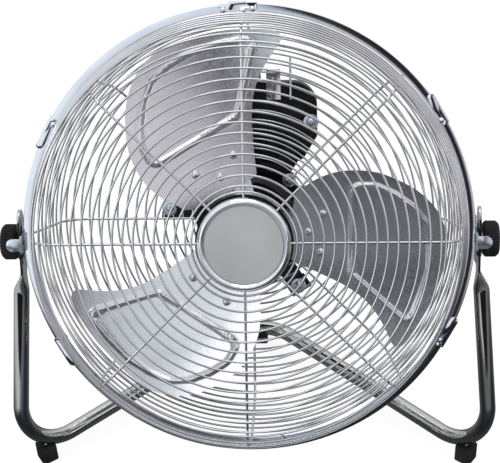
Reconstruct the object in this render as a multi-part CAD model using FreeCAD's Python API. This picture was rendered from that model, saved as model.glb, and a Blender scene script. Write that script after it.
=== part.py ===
import FreeCAD, Part
import math
import os
from FreeCAD import Vector

# A high-velocity floor fan: a round wire guard with its motor and three riveted
# blades, tilting between two knobs on a stand bent from one tube.
# Millimetres. +X is the viewer's right, the front faces -Y, +Z is up.
# The origin is on the floor, under the middle of the overall box.
# Pieces of the tilting head are drawn upright about the guard's centre, front
# towards -Y, and are then turned up to the rest tilt about the pivot axis.

# ---- driving dimensions -------------------------------------------------
TILT = 30.0                 # how far the head looks up at rest, degrees
PIVOT_Y = -22.1             # pivot axis, front to back, from the origin
PIVOT_HEIGHT = 270.0        # pivot axis above the floor
PIVOT_DROP = 9.5            # pivot axis below the guard's centre

RING_R = 250.0              # guard ring, outside
RING_FACE = 8.5             # width of its front and rear lips
RING_DEPTH = 16.0
RING_WALL = 1.2
RIM_WIRE_R = 1.3
RING_WIRE_R = 1.2
RIB_WIRE_R = 1.5
RIB_COUNT = 8
FRONT_FLAT = 75.0           # front grille's flat face, ahead of the ring
REAR_FLAT = 96.5            # rear grille's flat face, behind the ring
RING_PITCH = 11.15
SIDE_PITCH = 9.4
WELD_GAP = 0.02             # keeps welded wires just touching

TUBE_R = 9.0
TUBE_BORE_R = 7.5
TUBE_END_X = 254.25         # middle plane of the flattened tube ends
TUBE_END_T = 3.5
TUBE_END_W = 24.5
TUBE_LEAN = 23.0            # uprights lean back, degrees
BEND_X = 275.0              # corner of upright and base, if they were not rounded
BEND_DROP = 250.0           # base tube's middle below the pivot
APEX_RUN = 139.0            # base's rear corner, behind the pivot
BEND_R = 52.0
APEX_R = 60.0

FOOT_SIZE = 20.0
FOOT_TURN = 35.0
HUB_CAP_R = 50.4
BADGE_R = 42.3
BLADE_TIP_R = 222.0
BLADE_ROOT_X = 47.0         # the straight root edge, from the axis
BLADE_PITCH = 15.8          # the leading edge stands forward of the trailing edge
BLADE_CURVE_R = 400.0
BLADE_SHEET = 1.5
BLADE_AXES = (120.0, 0.0, 240.0)
BLADE_Y = 14.4
SHAFT_R = 5.0
MOTOR_R = 53.0
ARM_ANGLES = (58.0, 173.0, -57.0)
ARM_PAD_R = 98.0
MOTOR_SCREW_R = 61.5
CLIP_ANGLES = (30.0, 150.0, 210.0, 330.0)
LONE_SCREW_ANGLE = 278.3    # a screw through the guard ring with no clip under it
TOP_JOINT_ANGLE = 91.5
CLIP_SCREW_R = 244.2
FIT = 0.03                  # small gap between pieces that are fixed together
RUN = 0.05                  # radial running fit

X_AXIS = Vector(1, 0, 0)
Y_AXIS = Vector(0, 1, 0)
Z_AXIS = Vector(0, 0, 1)
CENTRE = Vector(0, 0, 0)

os.makedirs("parts", exist_ok=True)
parts = {}


# ---- helpers ------------------------------------------------------------
def rod(radius, start, end):
    """A round bar between two points."""
    along = end - start
    return Part.makeCylinder(radius, along.Length, start, along)


def block(x0, x1, y0, y1, z0, z1):
    return Part.makeBox(x1 - x0, y1 - y0, z1 - z0, Vector(x0, y0, z0))


def disc(radius, y0, y1, x=0.0, z=0.0):
    """A round slice from y0 to y1 about an axis along Y."""
    return Part.makeCylinder(radius, y1 - y0, Vector(x, y0, z), Y_AXIS)


def washer(outer, inner, y0, y1, x=0.0, z=0.0):
    return disc(outer, y0, y1, x, z).cut(disc(inner, y0 - 1, y1 + 1, x, z))


def turned(profile):
    """A closed (radius, y) outline turned about the Y axis."""
    points = [Vector(radius, y, 0) for radius, y in profile]
    face = Part.Face(Part.makePolygon(points + [points[0]]))
    return face.revolve(CENTRE, Y_AXIS, 360)


def spun(shape, degrees):
    """A copy turned about the fan's axis, anticlockwise seen from the front."""
    copy = shape.copy()
    copy.rotate(CENTRE, Y_AXIS, -degrees)
    return copy


def mirrored(shape):
    """The opposite-hand copy across the fan's middle plane."""
    return shape.mirror(CENTRE, X_AXIS)


def joined(shapes):
    first, *rest = shapes
    return first.fuse(rest).removeSplitter() if rest else first


def drilled(shape, tools):
    for tool in tools:
        shape = shape.cut(tool)
    return shape


def polar(radius, degrees):
    """A point in the face of the guard, seen from the front."""
    angle = math.radians(degrees)
    return radius * math.cos(angle), radius * math.sin(angle)


def rounded_path(points, radii):
    """Straight runs through the points, with tangent arcs at the inner ones."""
    edges = []
    start = points[0]
    for corner, radius, before, after in zip(points[1:-1], radii, points, points[2:]):
        back = (before - corner).normalize()
        ahead = (after - corner).normalize()
        half = back.getAngle(ahead) / 2
        enter = corner + back * (radius / math.tan(half))
        leave = corner + ahead * (radius / math.tan(half))
        bisector = (back + ahead).normalize()
        middle = corner + bisector * (radius / math.sin(half) - radius)
        edges.append(Part.LineSegment(start, enter).toShape())
        edges.append(Part.Arc(enter, middle, leave).toShape())
        start = leave
    edges.append(Part.LineSegment(start, points[-1]).toShape())
    return Part.Wire(edges)


def swept(path, radius):
    """A round wire or bar along a path."""
    first = path.OrderedEdges[0]
    circle = Part.makeCircle(radius, first.firstVertex().Point, first.tangentAt(first.FirstParameter))
    return path.makePipeShell([Part.Wire(circle)], True, False)


def rounded_outline(points, radius):
    """A flat closed outline in X and Z with every corner rounded."""
    edges = []
    count = len(points)
    arcs = []
    for index, corner in enumerate(points):
        back = (points[index - 1] - corner).normalize()
        ahead = (points[(index + 1) % count] - corner).normalize()
        half = back.getAngle(ahead) / 2
        enter = corner + back * (radius / math.tan(half))
        leave = corner + ahead * (radius / math.tan(half))
        middle = corner + (back + ahead).normalize() * (radius / math.sin(half) - radius)
        arcs.append((enter, middle, leave))
    for index, (enter, middle, leave) in enumerate(arcs):
        edges.append(Part.Arc(enter, middle, leave).toShape())
        edges.append(Part.LineSegment(leave, arcs[(index + 1) % count][0]).toShape())
    return Part.Face(Part.Wire(edges))


def slab(face, y0, y1):
    """A flat XZ face given thickness from y0 to y1."""
    copy = face.copy()
    copy.translate(Vector(0, y0, 0))
    return copy.extrude(Vector(0, y1 - y0, 0))


def hexagon(across_flats, y0, y1, x=0.0, z=0.0):
    corner = across_flats / math.sqrt(3)
    points = [Vector(x + corner * math.cos(math.radians(60 * k)), y0,
                     z + corner * math.sin(math.radians(60 * k))) for k in range(6)]
    face = Part.Face(Part.makePolygon(points + [points[0]]))
    return face.extrude(Vector(0, y1 - y0, 0))


def dome_head(radius, height, y_seat, x, z):
    """A dome screw or rivet head standing towards the front from y_seat."""
    sphere_r = (radius ** 2 + height ** 2) / (2 * height)
    ball = Part.makeSphere(sphere_r, Vector(x, y_seat - height + sphere_r, z))
    return ball.common(disc(radius + 1, y_seat - height - 1, y_seat, x, z))


def on_head(shape):
    """Moves an upright head piece to its place and tilt at rest."""
    placed = shape.copy()
    placed.translate(Vector(0, 0, PIVOT_DROP))
    placed.rotate(CENTRE, X_AXIS, -TILT)
    placed.translate(Vector(0, PIVOT_Y, PIVOT_HEIGHT))
    return placed


def on_stand(shape):
    """Moves a stand piece, drawn about the pivot, to its place."""
    placed = shape.copy()
    placed.translate(Vector(0, PIVOT_Y, PIVOT_HEIGHT))
    return placed


def keep_head(name, solids):
    parts[name] = [on_head(solid) for solid in solids]


def keep_stand(name, solids):
    parts[name] = [on_stand(solid) for solid in solids]


# ---- stand --------------------------------------------------------------
LEAN = Vector(0, math.sin(math.radians(TUBE_LEAN)), math.cos(math.radians(TUBE_LEAN)))
ACROSS = LEAN.cross(X_AXIS)
FLAT_DOWN = 34.0            # the flattened length below the pivot
SWELL = 26.0                # where the flat grows into the round tube
TIP_UP = 37.0               # the flattened length above the pivot
STUD_R = 3.95


def tube_end(side):
    """One flattened, rounded and drilled end with its swelling to the round tube."""
    middle = Vector(side * TUBE_END_X, 0, 0)
    half_x = Vector(TUBE_END_T / 2, 0, 0)
    half_w = ACROSS * (TUBE_END_W / 2)
    low = middle - LEAN * FLAT_DOWN
    high = middle + LEAN * (TIP_UP - TUBE_END_W / 2)
    corners = [low - half_x - half_w, low - half_x + half_w, high - half_x + half_w, high - half_x - half_w]
    face = Part.Face(Part.makePolygon(corners + [corners[0]]))
    strip = face.extrude(Vector(TUBE_END_T, 0, 0))
    tip = rod(TUBE_END_W / 2, high - half_x, high + half_x)
    flat = strip.fuse(tip)
    hole = rod(STUD_R + 0.3, middle - Vector(5, 0, 0), middle + Vector(5, 0, 0))
    flat = flat.cut(hole)
    # the swelling is lofted from the flat's section to the round tube's circle
    flat_radius = TUBE_END_T / 2 - 0.01
    run = TUBE_END_W / 2 - flat_radius
    a = low + ACROSS * run
    b = low - ACROSS * run
    side_x = Vector(flat_radius, 0, 0)
    section = Part.Wire([
        Part.LineSegment(a + side_x, b + side_x).toShape(),
        Part.Arc(b + side_x, b - ACROSS * flat_radius, b - side_x).toShape(),
        Part.LineSegment(b - side_x, a - side_x).toShape(),
        Part.Arc(a - side_x, a + ACROSS * flat_radius, a + side_x).toShape(),
    ])
    round_at = upright_point(side, FLAT_DOWN + SWELL)
    direction = (upright_point(side, FLAT_DOWN + SWELL + 10) - round_at).normalize()
    ring = Part.Wire(Part.makeCircle(TUBE_R, round_at, direction))
    swell = Part.makeLoft([section, ring], True, False)
    return flat, swell


def upright_point(side, distance):
    """A point on the upright's middle line, a distance down from the pivot."""
    start = Vector(side * TUBE_END_X, 0, 0)
    corner = Vector(side * BEND_X, -BEND_DROP * math.tan(math.radians(TUBE_LEAN)), -BEND_DROP)
    return start + (corner - start).normalize() * distance


def tube_path(start_distance):
    left = Vector(-BEND_X, -BEND_DROP * math.tan(math.radians(TUBE_LEAN)), -BEND_DROP)
    right = Vector(-left.x, left.y, left.z)
    apex = Vector(0, APEX_RUN, -BEND_DROP)
    points = [upright_point(-1, start_distance), left, apex, right, upright_point(1, start_distance)]
    return rounded_path(points, [BEND_R, APEX_R, BEND_R])


round_tube = swept(tube_path(FLAT_DOWN + SWELL), TUBE_R)
tube_bore = swept(tube_path(FLAT_DOWN + SWELL + 2), TUBE_BORE_R)
left_flat, left_swell = tube_end(-1)
right_flat, right_swell = tube_end(1)
solid_tube = joined([round_tube, left_swell, right_swell, left_flat, right_flat])
stand_tube = solid_tube.cut(tube_bore)

FLOOR = -PIVOT_HEIGHT
FOOT_TOP = -BEND_DROP + 3.0
FOOT_INSET = 35.0           # from the bend's corner, along the base


def foot(x, y, turn, top):
    """A square foot with softened edges, hollowed to seat the tube above it."""
    half = FOOT_SIZE / 2
    body = block(-half, half, -half, half, 0, top - FLOOR)
    uprights = [edge for edge in body.Edges if abs(edge.tangentAt(0).z) > 0.9]
    body = body.makeFillet(2.5, uprights)
    lower_rim = [edge for edge in body.Edges if edge.BoundBox.ZMax < 0.01]
    body = body.makeFillet(1.2, lower_rim)
    body.rotate(CENTRE, Z_AXIS, turn)
    body.translate(Vector(x, y, FLOOR))
    return body.cut(swept(tube_path(FLAT_DOWN + SWELL), TUBE_R + FIT))


base_run = Vector(-BEND_X, APEX_RUN + BEND_DROP * math.tan(math.radians(TUBE_LEAN)), 0).normalize()
foot_x = BEND_X + base_run.x * FOOT_INSET
foot_y = -BEND_DROP * math.tan(math.radians(TUBE_LEAN)) + base_run.y * FOOT_INSET
apex_half = math.atan2(APEX_RUN + BEND_DROP * math.tan(math.radians(TUBE_LEAN)), BEND_X)
rear_foot_y = APEX_RUN - APEX_R * (1 / math.cos(apex_half) - 1)
foot_places = {
    "front_foot_left": (-foot_x, foot_y, FOOT_TURN, FOOT_TOP),
    "front_foot_right": (foot_x, foot_y, -FOOT_TURN, FOOT_TOP),
    "rear_foot": (0.0, rear_foot_y, 0.0, -BEND_DROP + 2.0),
}
screw_holes = []
foot_screws = []
SCREW_RECESS = 3.5
for foot_name, (x, y, turn, top) in foot_places.items():
    recess = rod(4.5, Vector(x, y, FLOOR - 1), Vector(x, y, FLOOR + SCREW_RECESS))
    shank_top = FLOOR + (24.0 if foot_name != "rear_foot" else 14.0)
    shank = rod(2.0, Vector(x, y, FLOOR + SCREW_RECESS), Vector(x, y, shank_top))
    hole = rod(2.0 + FIT, Vector(x, y, FLOOR), Vector(x, y, shank_top + 1))
    screw_holes.append(hole)
    head = rod(4.0, Vector(x, y, FLOOR + 1.0), Vector(x, y, FLOOR + SCREW_RECESS - FIT))
    foot_screws.append(head.fuse(shank).removeSplitter())
    keep_stand(foot_name, [foot(x, y, turn, top).cut(recess).cut(hole)])
stand_tube = drilled(stand_tube, screw_holes)
keep_stand("stand_tube", [stand_tube])
keep_stand("foot_screws", foot_screws)

# black saddles that stop the flattened ends turning on the guard
SADDLE_INNER_X = 251.65
SADDLE_OUTER_X = 256.0
SADDLE_BASE = 0.8
SADDLE_HALF_LENGTH = 16.0
SADDLE_WALL = 2.2


def saddle(side):
    half_w = TUBE_END_W / 2 + FIT + SADDLE_WALL
    body = block(SADDLE_INNER_X, SADDLE_OUTER_X, -half_w, half_w, -SADDLE_HALF_LENGTH, SADDLE_HALF_LENGTH)
    slot = TUBE_END_W / 2 + FIT
    body = body.cut(block(SADDLE_INNER_X + SADDLE_BASE, SADDLE_OUTER_X + 1, -slot, slot, -20, 20))
    body = body.cut(rod(STUD_R + 0.3, Vector(SADDLE_INNER_X - 1, 0, 0), Vector(SADDLE_OUTER_X + 1, 0, 0)))
    body.rotate(CENTRE, X_AXIS, -TUBE_LEAN)
    return body if side > 0 else mirrored(body)


keep_stand("saddle_left", [saddle(-1)])
keep_stand("saddle_right", [saddle(1)])

# ---- tilt knobs ---------------------------------------------------------
KNOB_IN = 257.8
KNOB_OUT = 275.6
KNOB_R = 20.0
KNOB_FLUTES = 36
FLUTE_R = 1.0
STUD_IN = 240.0


def knob_grip():
    chamfer = 3.0
    rim = [(0, KNOB_IN), (KNOB_R - chamfer, KNOB_IN), (KNOB_R, KNOB_IN + chamfer),
           (KNOB_R, KNOB_OUT - chamfer), (KNOB_R - chamfer, KNOB_OUT), (0, KNOB_OUT)]
    points = [Vector(x, radius, 0) for radius, x in rim]
    body = Part.Face(Part.makePolygon(points + [points[0]])).revolve(CENTRE, X_AXIS, 360)
    for index in range(KNOB_FLUTES):
        y, z = polar(KNOB_R + 0.4, index * 360 / KNOB_FLUTES)
        body = body.cut(rod(FLUTE_R, Vector(KNOB_IN - 1, y, z), Vector(KNOB_OUT + 1, y, z)))
    socket = rod(STUD_R + FIT, Vector(KNOB_IN - 1, 0, 0), Vector(KNOB_OUT - 4, 0, 0))
    return body.cut(socket)


def knob_stud():
    stud = rod(STUD_R, Vector(STUD_IN, 0, 0), Vector(KNOB_OUT - 4.2, 0, 0))
    collar = rod(8.5, Vector(256.35, 0, 0), Vector(KNOB_IN - FIT, 0, 0))
    return stud.fuse(collar).removeSplitter()


grip = knob_grip()
stud = knob_stud()
keep_stand("tilt_knob_right", [grip])
keep_stand("tilt_knob_left", [mirrored(grip)])
keep_stand("knob_stud_right", [stud])
keep_stand("knob_stud_left", [mirrored(stud)])

# ---- guard ring ---------------------------------------------------------
half_depth = RING_DEPTH / 2
lip_r = RING_R - RING_FACE
channel = [(lip_r, -half_depth), (RING_R, -half_depth), (RING_R, half_depth), (lip_r, half_depth),
           (lip_r, half_depth - RING_WALL), (RING_R - RING_WALL, half_depth - RING_WALL),
           (RING_R - RING_WALL, -half_depth + RING_WALL), (lip_r, -half_depth + RING_WALL)]
guard_ring = turned(channel)
joint_slit = block(-0.6, 0.6, -half_depth - 1, half_depth + 1, lip_r - 1, RING_R + 1)
guard_ring = guard_ring.cut(spun(joint_slit, TOP_JOINT_ANGLE - 90))

screw_angles = list(CLIP_ANGLES) + [LONE_SCREW_ANGLE, TOP_JOINT_ANGLE - 3.7, TOP_JOINT_ANGLE + 3.7]
clip_holes = []
for angle in screw_angles:
    x, z = polar(CLIP_SCREW_R, angle)
    clip_holes.append(disc(1.5 + FIT, -20, 20, x, z))
guard_ring = drilled(guard_ring, clip_holes)
stud_hole = rod(STUD_R + 0.3, Vector(RING_R - 12, 0, -PIVOT_DROP), Vector(RING_R + 5, 0, -PIVOT_DROP))
guard_ring = drilled(guard_ring, [stud_hole, mirrored(stud_hole)])

# ---- grilles ------------------------------------------------------------
RIB_TAIL_Y = half_depth - RING_WALL - RIB_WIRE_R - 0.1
RIM_Y = RIB_TAIL_Y - RIB_WIRE_R - RIM_WIRE_R - WELD_GAP
RIM_R = RING_R - RING_WALL - RIM_WIRE_R - 0.2
SIDE_FOOT_R = 238.9         # where a rib's side leg reaches the ring
SIDE_FOOT_Y = 11.0


def guard_profile(flat, slope, corner_r, offset, inner_r, towards):
    """Corner points of a rib, or of the ring wires laid outside it by offset."""
    lean = math.radians(slope)
    foot_r = SIDE_FOOT_R + offset * math.cos(lean)
    foot_y = SIDE_FOOT_Y + offset * math.sin(lean)
    corner = foot_r - (flat + offset - foot_y) * math.tan(lean)
    points = [Vector(inner_r, towards * (flat + offset), 0), Vector(corner, towards * (flat + offset), 0),
              Vector(foot_r, towards * foot_y, 0)]
    return points, corner_r + offset


def rib(flat, slope, corner_r, inner_r, towards):
    points, radius = guard_profile(flat, slope, corner_r, 0.0, inner_r, towards)
    lean = math.radians(slope)
    knee_r = SIDE_FOOT_R + (SIDE_FOOT_Y - RIB_TAIL_Y) * math.tan(lean)
    points[2] = Vector(knee_r, towards * RIB_TAIL_Y, 0)
    points.append(Vector(RIM_R + 0.8, towards * RIB_TAIL_Y, 0))
    return swept(rounded_path(points, [radius, 2.5]), RIB_WIRE_R)


def side_rings(flat, slope, corner_r, last_flat_r, towards):
    """Ring wires evenly spaced from the flat face round the corner, short of the ring."""
    offset = RIB_WIRE_R + RING_WIRE_R + WELD_GAP
    points, radius = guard_profile(flat, slope, corner_r, offset, last_flat_r, towards)
    path = rounded_path(points, [radius])
    count = round(path.Length / SIDE_PITCH) + 1
    return path.discretize(Number=count)[1:-1]


def ring_wire(radius, y):
    """One round of wire, drawn with twelve flats so that its mesh stays light."""
    corner = RING_WIRE_R / math.cos(math.pi / 12)
    angles = [math.radians(15 + 30 * index) for index in range(12)]
    return turned([(radius + corner * math.cos(angle), y + corner * math.sin(angle)) for angle in angles])


def grille(flat_face, slope, corner_r, flat_radii, rib_start, towards):
    """The ring wires and ribs of one side of the guard."""
    rib_flat = flat_face - RIB_WIRE_R - RING_WIRE_R - WELD_GAP
    wires = [ring_wire(radius, towards * flat_face) for radius in flat_radii]
    for point in side_rings(rib_flat, slope, corner_r, flat_radii[-1], towards):
        wires.append(ring_wire(point.x, point.y))
    one_rib = rib(rib_flat, slope, corner_r, rib_start, towards)
    ribs = [spun(one_rib, 360 / RIB_COUNT * index) for index in range(RIB_COUNT)]
    return wires, ribs


front_radii = [56.0, 62.4] + [73.5 + RING_PITCH * index for index in range(13)]
rear_radii = [71.0 + RING_PITCH * index for index in range(12)]
front_wires, front_ribs = grille(FRONT_FLAT, 12.5, 25.0, front_radii, 47.0, -1)
rear_wires, rear_ribs = grille(REAR_FLAT, 13.5, 32.0, rear_radii, 68.5, 1)
keep_head("front_grille_rings", front_wires)
keep_head("front_grille_ribs", front_ribs)
keep_head("rear_grille_rings", rear_wires)


def rim_arc(y, start, end):
    """A stretch of rim wire between two angles, seen from the front."""
    ends = [polar(RIM_R, angle) for angle in (start, (start + end) / 2, end)]
    arc = Part.Arc(*[Vector(x, y, z) for x, z in ends])
    return swept(Part.Wire([arc.toShape()]), RIM_WIRE_R)


# the rim wires stop either side of the pivot studs
STUD_ANGLE = -2.2
STUD_GAP = 1.85
rim_arcs = []
for y in (-RIM_Y, RIM_Y):
    rim_arcs.append(rim_arc(y, STUD_ANGLE + STUD_GAP, 180 - STUD_ANGLE - STUD_GAP))
    rim_arcs.append(rim_arc(y, 180 - STUD_ANGLE + STUD_GAP, 360 + STUD_ANGLE - STUD_GAP))
keep_head("rim_wires", rim_arcs)

rear_rib_y = REAR_FLAT - RIB_WIRE_R - RING_WIRE_R - WELD_GAP
short_wires = [rod(RIB_WIRE_R, Vector(side * 46.6, rear_rib_y, 139), Vector(side * 46.6, rear_rib_y, 188))
               for side in (-1, 1)]
keep_head("rear_grille_ribs", rear_ribs + short_wires)

# ---- clips round the guard ring -----------------------------------------
FACE_Y = -half_depth
CLIP_T = 1.0
CLIP_BACK = -6.0            # the clip's tail behind its screw
CLIP_LENGTH = 31.0
DOME_R = 3.2


def clip_blank(start, end, rise, flange_start, flange_end):
    """A face plate with one flange folded back over the ring, in the ring's own
    tangent (X) and radius (Z) directions at the top of the guard."""
    plate_y = FACE_Y - FIT - CLIP_T
    inner = lip_r + 1.0
    outer = RING_R + rise
    face = block(-end, -start, plate_y, plate_y + CLIP_T, inner, outer)
    nose_r = (outer - inner) / 2
    face = face.cut(block(-end - 1, -end + nose_r, plate_y - 1, plate_y + CLIP_T + 1, inner - 1, outer + 1))
    face = face.fuse(disc(nose_r, plate_y, plate_y + CLIP_T, -end + nose_r, inner + nose_r))
    flange = block(-flange_end, -flange_start, plate_y, half_depth - 2, outer - CLIP_T, outer)
    return face.fuse(flange).removeSplitter()


clip_shape = clip_blank(CLIP_BACK, CLIP_LENGTH, 1.6, CLIP_BACK, CLIP_LENGTH - 5.0)
clip_shape = clip_shape.cut(disc(1.5 + FIT, -20, 20, 0, CLIP_SCREW_R))
keep_head("grille_clips", [spun(clip_shape, angle - 90) for angle in CLIP_ANGLES])

joint_plate = clip_blank(-21.0, 21.0, 2.6, -8.0, 8.0)
joint_plate = joint_plate.cut(block(-30, -9.5, -20, 20, RING_R + 0.6, RING_R + 5))
joint_plate = joint_plate.cut(block(9.5, 30, -20, 20, RING_R + 0.6, RING_R + 5))
joint_plate = drilled(spun(joint_plate, TOP_JOINT_ANGLE - 90), clip_holes)
keep_head("ring_joint_plate", [joint_plate])

clip_screws = []
clip_nuts = []
for angle in screw_angles:
    x, z = polar(CLIP_SCREW_R, angle)
    seat = FACE_Y - FIT if angle == LONE_SCREW_ANGLE else FACE_Y - FIT * 2 - CLIP_T
    head = dome_head(DOME_R, 2.6, seat, x, z)
    clip_screws.append(head.fuse(disc(1.5, seat - 0.5, half_depth + 3.4, x, z)).removeSplitter())
    nut = hexagon(5.5, half_depth + FIT, half_depth + 2.4, x, z).cut(disc(1.5 + FIT, 0, 20, x, z))
    clip_nuts.append(nut)
keep_head("clip_screws", clip_screws)
keep_head("clip_nuts", clip_nuts)

# ---- tilt brackets with their stop tabs ---------------------------------
BRACKET_IN = 250.1
BRACKET_T = 1.2
TAB_Y = -22.6
TAB_T = 1.4
TAB_HALF = 7.0
TAB_OUT = 266.5


def tilt_bracket():
    """A plate on the side of the guard ring, its front edge turned out as a tab."""
    low, high = -PIVOT_DROP - 26.0, -PIVOT_DROP + 26.0
    plate = block(BRACKET_IN, BRACKET_IN + BRACKET_T, -7.5, 7.5, low, high)
    wing = block(BRACKET_IN, BRACKET_IN + BRACKET_T, TAB_Y, 0, -PIVOT_DROP - 10, -PIVOT_DROP + 10)
    tab = block(BRACKET_IN, TAB_OUT - TAB_HALF, TAB_Y - TAB_T, TAB_Y,
                -PIVOT_DROP - TAB_HALF, -PIVOT_DROP + TAB_HALF)
    nose = disc(TAB_HALF, TAB_Y - TAB_T, TAB_Y, TAB_OUT - TAB_HALF, -PIVOT_DROP)
    body = joined([plate, wing, tab, nose])
    return body.cut(stud_hole)


keep_head("guard_ring", [guard_ring])
bracket = tilt_bracket()
keep_head("tilt_bracket_right", [bracket])
keep_head("tilt_bracket_left", [mirrored(bracket)])

nut_out = RING_R - RING_WALL - 0.5
pivot_nut = hexagon(11.0, STUD_IN + 1.0, nut_out)
pivot_nut.rotate(CENTRE, Z_AXIS, -90)
pivot_nut.translate(Vector(0, 0, -PIVOT_DROP))
nut_bore = rod(STUD_R + RUN, Vector(STUD_IN - 5, 0, -PIVOT_DROP), Vector(RING_R, 0, -PIVOT_DROP))
pivot_nut = pivot_nut.cut(nut_bore)
keep_head("pivot_nuts", [pivot_nut, mirrored(pivot_nut)])

# ---- hub cap on the front grille ----------------------------------------
HUB_PLATE_Y = -(FRONT_FLAT - RIB_WIRE_R - RING_WIRE_R - WELD_GAP) - RIB_WIRE_R - WELD_GAP
CAP_FRONT_Y = -85.0
bezel_profile = [(BADGE_R + 0.1, HUB_PLATE_Y - 1.2 - FIT), (HUB_CAP_R - 1.5, HUB_PLATE_Y - 1.2 - FIT),
                 (HUB_CAP_R, HUB_PLATE_Y - 3.0), (HUB_CAP_R, CAP_FRONT_Y + 4.5),
                 (HUB_CAP_R - 1.2, CAP_FRONT_Y + 1.8), (HUB_CAP_R - 3.5, CAP_FRONT_Y),
                 (BADGE_R + 2.2, CAP_FRONT_Y), (BADGE_R + 0.1, CAP_FRONT_Y + 1.6)]
keep_head("cap_bezel", [turned(bezel_profile)])
badge = disc(BADGE_R, CAP_FRONT_Y + 2.6, CAP_FRONT_Y + 4.0)
badge = badge.makeFillet(0.6, [edge for edge in badge.Edges if edge.BoundBox.YMax < CAP_FRONT_Y + 2.7])
keep_head("cap_badge", [badge])
cap_screw_places = [polar(30.0, angle) for angle in (90, 210, 330)]
cap_holes = [disc(2.0 + FIT, -90, -60, x, z) for x, z in cap_screw_places]
hub_plate = drilled(disc(HUB_CAP_R - 0.8, HUB_PLATE_Y - 1.2, HUB_PLATE_Y), cap_holes)
keep_head("cap_front_plate", [hub_plate])
back_y = HUB_PLATE_Y + 2 * RIB_WIRE_R + 2 * WELD_GAP
back_plate = washer(52.5, 12.0, back_y, back_y + 1.4)
keep_head("cap_back_plate", [drilled(back_plate, cap_holes)])
cap_screws = []
for x, z in cap_screw_places:
    head = disc(3.6, HUB_PLATE_Y - 3.4, HUB_PLATE_Y - 1.2 - FIT, x, z)
    cap_screws.append(head.fuse(disc(2.0, HUB_PLATE_Y - 2.0, back_y + 4.0, x, z)).removeSplitter())
keep_head("cap_screws", cap_screws)

# ---- blades and their spider --------------------------------------------
def blade_shell(rear_from, rear_to):
    """The curved sheet that blades are pressed from, between two depths."""
    outer = Part.makeCylinder(BLADE_CURVE_R + rear_to, 260, Vector(0, -BLADE_CURVE_R, 0), X_AXIS)
    inner = Part.makeCylinder(BLADE_CURVE_R + rear_from, 262, Vector(-1, -BLADE_CURVE_R, 0), X_AXIS)
    sheet = outer.cut(inner).common(block(0, 260, -60, 60, -180, 180))
    sheet.rotate(CENTRE, X_AXIS, BLADE_PITCH)
    sheet.translate(Vector(0, BLADE_Y, 0))
    return sheet


def face_point(radius, degrees):
    x, z = polar(radius, degrees)
    return Vector(x, 0, z)


def spline(points):
    curve = Part.BSplineCurve()
    curve.interpolate(points)
    return curve


TRAILING_EDGE = ((66.0, -38.0), (80.0, -35.3), (100.0, -33.4), (128.0, -32.2), (155.0, -33.1),
                 (178.0, -35.6), (198.0, -38.5), (212.0, -40.3))
LEADING_EDGE = ((BLADE_TIP_R, -8.0), (219.6, -1.0), (211.0, 5.4), (195.0, 12.3), (177.0, 18.4),
                (158.0, 24.7), (139.0, 29.8), (120.0, 34.2), (98.0, 37.6), (83.0, 38.6))


def blade_outline():
    """Seen from the front, about an axis along +X: a straight root, a gently waved
    trailing edge, the tip's arc and a swept leading edge."""
    trailing = [face_point(*place) for place in TRAILING_EDGE]
    leading = [face_point(*place) for place in LEADING_EDGE]
    root_low = Vector(BLADE_ROOT_X, 0, -33.0)
    root_high = Vector(BLADE_ROOT_X + 4.0, 0, 33.0)
    tip_start = face_point(BLADE_TIP_R, -36.5)
    heel = Part.Arc(root_low, Vector(BLADE_ROOT_X + 1.4, 0, -38.0), trailing[0])
    corner = Part.Arc(trailing[-1], face_point(BLADE_TIP_R - 2.5, -39.3), tip_start)
    tip = Part.Arc(tip_start, face_point(BLADE_TIP_R, -20.0), leading[0])
    shoulder = Part.Arc(leading[-1], Vector(BLADE_ROOT_X + 9.0, 0, 45.0), root_high)
    root = Part.LineSegment(root_high, root_low)
    edges = (spline(trailing), corner, tip, spline(leading), shoulder, root, heel)
    return Part.Face(Part.Wire([curve.toShape() for curve in edges]))


PANEL_CORNERS = ((111.5, 57.0), (142.0, 56.0), (164.0, 45.5), (186.0, 29.0), (202.0, 8.0), (207.0, -18.0),
                 (206.5, -48.0), (198.0, -79.0), (182.5, -123.0), (111.0, -56.0))
PANEL_CORNER_R = 14.0


def panel_outline(inset):
    """The raised panel in the middle of a blade."""
    outline = rounded_outline([Vector(x, 0, z) for x, z in PANEL_CORNERS], PANEL_CORNER_R)
    return outline.makeOffset2D(-inset) if inset else outline


PANEL_RISE = 3.0
RIVET_PLACES = ((85.6, 12.8), (85.6, -19.5), (67.2, -3.0))
RIVET_HEAD_R = 5.0


def across_sheet(shape, z):
    """Carries a shape drawn on the sheet's middle line across its curve by z."""
    copy = shape.copy()
    copy.rotate(Vector(0, -BLADE_CURVE_R, 0), X_AXIS, math.degrees(math.asin(z / BLADE_CURVE_R)))
    copy.rotate(CENTRE, X_AXIS, BLADE_PITCH)
    copy.translate(Vector(0, BLADE_Y, 0))
    return copy


ARM_SHEET = 2.2
rivets = []
rivet_bores = []
for radius, degrees in RIVET_PLACES:
    x, z = polar(radius, degrees)
    head = dome_head(RIVET_HEAD_R, 3.6, -FIT, x, 0)
    shank = disc(2.4, -1.0, BLADE_SHEET + ARM_SHEET + 0.4, x, 0)
    tail = disc(4.2, BLADE_SHEET + ARM_SHEET + 2 * FIT, BLADE_SHEET + ARM_SHEET + 1.8, x, 0)
    rivets.append(across_sheet(joined([head, shank, tail]), z))
    rivet_bores.append(across_sheet(disc(2.4 + FIT, -6, 12, x, 0), z))

raised = slab(panel_outline(0.0), -80, 80).common(blade_shell(-PANEL_RISE, BLADE_SHEET / 2))
hollow = slab(panel_outline(1.5), -80, 80).common(blade_shell(-PANEL_RISE + BLADE_SHEET, BLADE_SHEET + 1))
blade = slab(blade_outline(), -80, 80).common(blade_shell(0.0, BLADE_SHEET))
blade = blade.fuse(raised).cut(hollow)
blade = drilled(blade, rivet_bores)

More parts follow.
